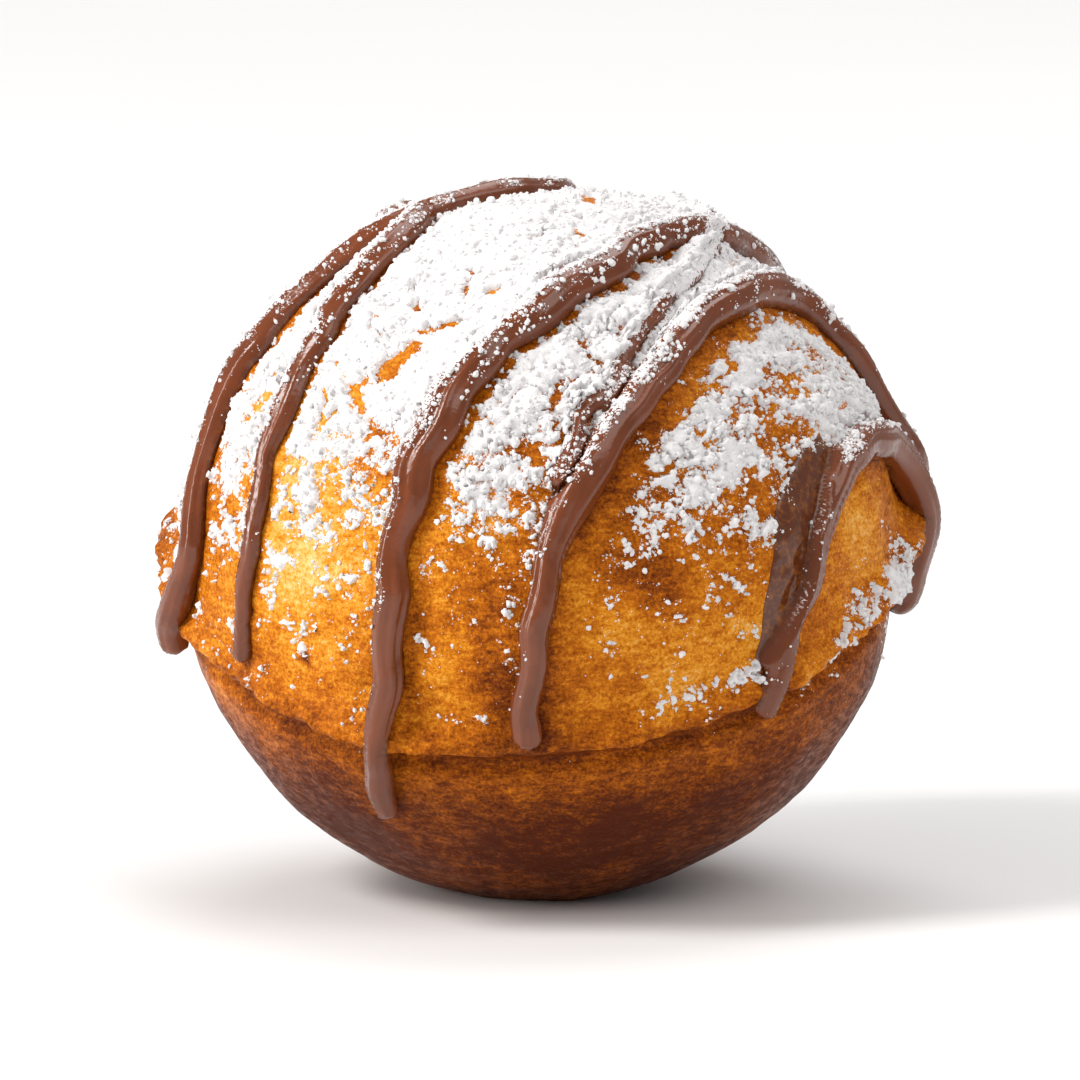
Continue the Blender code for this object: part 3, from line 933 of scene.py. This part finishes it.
class WAFFLE_OT_loose_sugar(bpy.types.Operator):
    """Scatters loose sugar of four kinds over the crust and the chocolate, as joined meshes"""

    bl_idname = "waffle.loose_sugar"
    bl_label = "Loose sugar"

    def execute(self, context):
        settings = context.scene.waffle_sugar
        upper = surface_of([shared["crust"], shared["drizzle"], shared["cover"]])
        finish = sugar_finish("sugar_grain", settings)
        for number, (name, count, least, most, cuts, start, densest, on_cover) in enumerate(LOOSE_SUGAR):
            rng = np.random.default_rng(settings.seed + number)
            seeds = self.seeds(context, cuts, rng)
            spots = self.spots(rng, upper, count, start, densest, on_cover)
            piece = self.scatter(context, name, seeds, spots, least, most, rng)
            dress(piece, finish)
        return {"FINISHED"}

    def seeds(self, context, cuts, rng):
        """A few crooked lumps, each a primitive with its corners moved."""
        made = []
        for _ in range(LUMP_KINDS):
            deselect()
            if cuts:
                bpy.ops.mesh.primitive_ico_sphere_add(subdivisions=cuts, radius=0.5)
            else:
                bpy.ops.mesh.primitive_cone_add(vertices=4, radius1=0.55, radius2=0, depth=0.8)
            seed = context.object
            if not cuts:
                bpy.ops.object.mode_set(mode="EDIT")
                bpy.ops.mesh.select_all(action="SELECT")
                bpy.ops.mesh.quads_convert_to_tris()
                bpy.ops.object.mode_set(mode="OBJECT")
            points = points_of(seed.data)
            offset = Vector(rng.uniform(0, 50, 3))
            pushed = [p * (1 + LUMP_CROOK * noise.noise(Vector(p) * LUMP_BUMPS + offset)) for p in points]
            corners = np.array(pushed) * rng.uniform(LUMP_LEAST, LUMP_MOST, 3)
            faces = np.array([face.vertices[:] for face in seed.data.polygons])
            made.append((corners, faces))
            bpy.data.objects.remove(seed)
        return made

    def spots(self, rng, upper, count, start, densest, on_cover):
        """Places and directions where sugar of this kind lies."""
        found = []
        while len(found) < count:
            hits = []
            for row in rng.normal(size=(BATCH, 3)):
                way = Vector(row).normalized()
                if way.z > LOWEST_SUGAR:
                    place, normal, _, _ = upper.ray_cast(CENTRE + way * 2 * BODY_RADIUS, -way)
                    if place is not None:
                        hits.append((place, normal))
            amounts = sugar_amounts([place for place, _ in hits], shared["threads"])
            for (place, normal), amount, chance in zip(hits, amounts, rng.random(len(hits))):
                covered = eased(FULL_FROM, FULL_TO, amount)
                share = eased(start, densest, amount) * (1 - (1 - on_cover) * covered)
                if chance < share * eased(SETTLES_FROM, SETTLES_TO, normal.z):
                    found.append((place, normal))
        return found[:count]

    def scatter(self, context, name, seeds, spots, least, most, rng):
        corners, faces, start = [], [], 0
        for place, normal in spots:
            points, sides = seeds[rng.integers(len(seeds))]
            size = least + (most - least) * rng.random() ** SMALL_SIZES
            turn = np.array(normal.to_track_quat("Z", "Y").to_matrix()) @ self.spin(rng)
            placed = (points * size * MM) @ turn.T + np.array(place + normal * size * SUNK_SHARE * MM)
            corners.append(placed)
            faces.append(sides + start)
            start += len(points)
        mesh = bpy.data.meshes.new(name)
        mesh.from_pydata(np.concatenate(corners), [], np.concatenate(faces))
        piece = bpy.data.objects.new(name, mesh)
        context.collection.objects.link(piece)
        return piece

    def spin(self, rng):
        tilts = rng.uniform(-LUMP_TILT, LUMP_TILT), rng.uniform(-LUMP_TILT, LUMP_TILT)
        turn = Euler((*tilts, rng.uniform(0, 2 * math.pi)))
        return np.array(turn.to_matrix())


class WAFFLE_OT_stage(bpy.types.Operator):
    """Sets the pale floor, the soft studio light and the camera"""

    bl_idname = "waffle.stage"
    bl_label = "Stage"

    def execute(self, context):
        settings = context.scene.waffle_stage
        self.add_floor(context)
        self.add_camera(context, settings)
        for name, light in LIGHTS.items():
            self.add_light(context, name, *light)
        world = bpy.data.worlds.new("studio")
        context.scene.world = world
        world.use_nodes = True
        background = world.node_tree.nodes["Background"]
        background.inputs["Color"].default_value = ROOM_COLOUR
        background.inputs["Strength"].default_value = ROOM_STRENGTH
        context.scene.view_settings.view_transform = "Standard"
        return {"FINISHED"}

    def add_floor(self, context):
        deselect()
        bpy.ops.mesh.primitive_plane_add(size=FLOOR_SIZE)
        floor = context.object
        floor.name = "floor"
        finish = Finish("pale_floor", {"Roughness": 0.6, "Specular IOR Level": 0.2})
        colour = finish.blend(finish.mottle(FLOOR_CLOUDS, 2, 0.5), *FLOOR_COLOURS)
        finish.plug(finish.shader, {"Base Color": colour})
        floor.data.materials.append(finish.material)

    def add_camera(self, context, settings):
        back = direction(settings.azimuth, settings.elevation)
        aim = CENTRE + Vector((0, 0, AIM_ABOVE))
        camera = bpy.data.objects.new("camera", bpy.data.cameras.new("camera"))
        context.collection.objects.link(camera)
        camera.data.lens = settings.lens
        camera.data.clip_start = CLIP_START
        camera.location = aim + back * settings.distance
        camera.rotation_euler = (-back).to_track_quat("-Z", "Y").to_euler()
        context.scene.camera = camera

    def add_light(self, context, name, azimuth, elevation, distance, width, height, watts, colour):
        data = bpy.data.lights.new(name, "AREA")
        data.shape = "ELLIPSE"
        data.size = width
        data.size_y = height
        data.energy = watts
        data.color = colour
        light = bpy.data.objects.new(name, data)
        context.collection.objects.link(light)
        away = direction(azimuth, elevation)
        light.location = CENTRE + away * distance
        light.rotation_euler = (-away).to_track_quat("-Z", "Y").to_euler()


class WAFFLE_PT_panel(bpy.types.Panel):
    """One button for each piece, and one for the stage"""

    bl_idname = "WAFFLE_PT_panel"
    bl_label = "Waffle Ball"
    bl_space_type = "VIEW_3D"
    bl_region_type = "UI"
    bl_category = "Waffle Ball"

    def draw(self, context):
        for operator in OPERATORS:
            self.layout.operator(operator.bl_idname)


SETTINGS = {
    "waffle_crust": CrustSettings,
    "waffle_drizzle": DrizzleSettings,
    "waffle_sugar": SugarSettings,
    "waffle_stage": StageSettings,
}
OPERATORS = [
    WAFFLE_OT_crust, WAFFLE_OT_drizzle, WAFFLE_OT_sugar_cover, WAFFLE_OT_loose_sugar, WAFFLE_OT_stage,
]


def register():
    for kind in [*SETTINGS.values(), *OPERATORS, WAFFLE_PT_panel]:
        bpy.utils.register_class(kind)
    for name, kind in SETTINGS.items():
        setattr(bpy.types.Scene, name, PointerProperty(type=kind))


def unregister():
    for name in SETTINGS:
        delattr(bpy.types.Scene, name)
    for kind in [WAFFLE_PT_panel, *reversed(OPERATORS), *SETTINGS.values()]:
        bpy.utils.unregister_class(kind)


def main():
    register()
    bpy.ops.waffle.crust()
    bpy.ops.waffle.drizzle()
    bpy.ops.waffle.sugar_cover()
    bpy.ops.waffle.loose_sugar()
    bpy.ops.waffle.stage()


if __name__ == "__main__":
    main()
